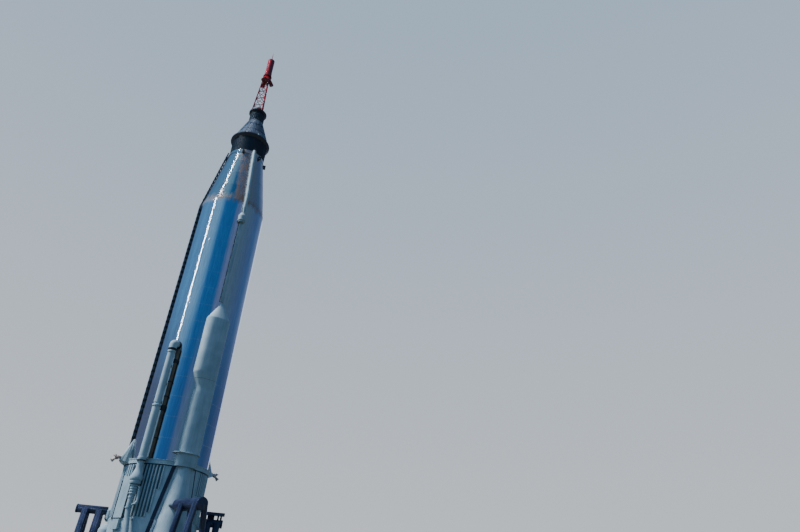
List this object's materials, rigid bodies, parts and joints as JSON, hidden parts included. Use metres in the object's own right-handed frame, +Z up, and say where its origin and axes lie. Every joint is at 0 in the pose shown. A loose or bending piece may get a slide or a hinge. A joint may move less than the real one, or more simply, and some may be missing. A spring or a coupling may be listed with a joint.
{
  "type": "space rocket on a display stand",
  "caption": "Tall stage-and-a-half space rocket with steel tank, boat-tail engine section, crew capsule and lattice escape tower, standing on radial pipe frames.",
  "frame": {"origin": "on the floor under the rocket's long axis, level with the undersides of the foot plates", "axes": "+Z up along the rocket; -Y through the equipment pod that faces the viewer; +X towards the vernier on the right"},
  "size_m": [6.2892, 8.5022, 29.9],
  "materials": {
    "polished_steel": "thin stainless sheet, brushed bright, with welded bands and brown stains",
    "pale_paint": "pale grey-green satin paint, a little chalky",
    "dark_shingle": "blackened beaded metal shingles, matt",
    "tower_red": "red paint, faded",
    "stand_blue": "dark navy gloss paint on steel pipe",
    "cable_black": "black cable jackets and dark clips",
    "pipe_brown": "unpainted brown pipe",
    "engine_metal": "dull grey engine metal"
  },
  "bodies": {
    "rocket": {"tank_cylinder": "polished_steel", "tank_cone": "polished_steel", "joint_ring": "pale_paint", "corrugated_skirt": "pale_paint", "nacelle_cap_1": "pale_paint", "nacelle_cap_2": "pale_paint", "engine_section_shell": "pale_paint", "base_heat_shield": "engine_metal", "thrust_frame": "engine_metal", "vernier_fairing_1": "pale_paint", "vernier_fairing_2": "pale_paint", "pod_nose_1": "pale_paint", "pod_nose_2": "pale_paint", "pod_body_1": "pale_paint", "pod_body_2": "pale_paint", "pod_base_1": "pale_paint", "pod_base_2": "pale_paint", "front_conduit": "polished_steel", "vent_bulb": "pale_paint", "vent_tube": "pale_paint", "guy_band": "cable_black", "oxidiser_line": "pale_paint", "oxidiser_valve": "pale_paint", "oxidiser_bellows": "pale_paint", "oxidiser_branch": "pale_paint", "side_tube": "pipe_brown", "raceway_lower": "cable_black", "raceway_upper": "cable_black", "access_panel": "pale_paint", "side_blister_1": "pale_paint", "side_blister_2": "pale_paint", "stand_frame_1": "stand_blue", "stand_frame_2": "stand_blue", "stand_frame_3": "stand_blue", "stand_frame_4": "stand_blue", "hold_down_fitting_1": "pale_paint", "hold_down_fitting_2": "pale_paint", "rest_plate": "stand_blue", "box_cover": "pale_paint", "adapter": "dark_shingle", "clamp_ring": "dark_shingle", "capsule_cone": "dark_shingle", "recovery_section": "dark_shingle", "tower_collar": "dark_shingle", "antenna_canister": "dark_shingle", "escape_tower": "tower_red", "escape_nozzles": "tower_red", "escape_motor": "tower_red", "nose_spike": "tower_red"},
    "booster_gimbal_1": {"booster_gimbal_1": "engine_metal"},
    "booster_engine_1": {"booster_engine_1": "engine_metal"},
    "booster_gimbal_2": {"booster_gimbal_2": "engine_metal"},
    "booster_engine_2": {"booster_engine_2": "engine_metal"},
    "sustainer_gimbal": {"sustainer_gimbal": "engine_metal"},
    "sustainer_engine": {"sustainer_engine": "engine_metal"},
    "vernier_engine_1": {"vernier_engine_1": "engine_metal"},
    "vernier_engine_2": {"vernier_engine_2": "engine_metal"}
  },
  "joints": [
    {"name": "booster_1_tilt_x", "type": "hinge", "parent": "rocket", "child": "booster_gimbal_1", "pos_m": [0, -1.65, 3.1], "axis": [1, 0, 0], "range_deg": [-5, 5]},
    {"name": "booster_1_tilt_y", "type": "hinge", "parent": "booster_gimbal_1", "child": "booster_engine_1", "pos_m": [0, -1.65, 3.1], "axis": [0, 1, 0], "range_deg": [-5, 5]},
    {"name": "booster_2_tilt_x", "type": "hinge", "parent": "rocket", "child": "booster_gimbal_2", "pos_m": [0, 1.65, 3.1], "axis": [1, 0, 0], "range_deg": [-5, 5]},
    {"name": "booster_2_tilt_y", "type": "hinge", "parent": "booster_gimbal_2", "child": "booster_engine_2", "pos_m": [0, 1.65, 3.1], "axis": [0, 1, 0], "range_deg": [-5, 5]},
    {"name": "sustainer_tilt_x", "type": "hinge", "parent": "rocket", "child": "sustainer_gimbal", "pos_m": [0, 0, 3.1], "axis": [1, 0, 0], "range_deg": [-3, 3]},
    {"name": "sustainer_tilt_y", "type": "hinge", "parent": "sustainer_gimbal", "child": "sustainer_engine", "pos_m": [0, 0, 3.1], "axis": [0, 1, 0], "range_deg": [-3, 3]},
    {"name": "vernier_1_swivel", "type": "hinge", "parent": "rocket", "child": "vernier_engine_1", "pos_m": [1.88, 0, 5.7], "axis": [1, 0, 0], "range_deg": [-70, 70]},
    {"name": "vernier_2_swivel", "type": "hinge", "parent": "rocket", "child": "vernier_engine_2", "pos_m": [-1.88, 0, 5.7], "axis": [-1, 0, 0], "range_deg": [-70, 70]}
  ]
}
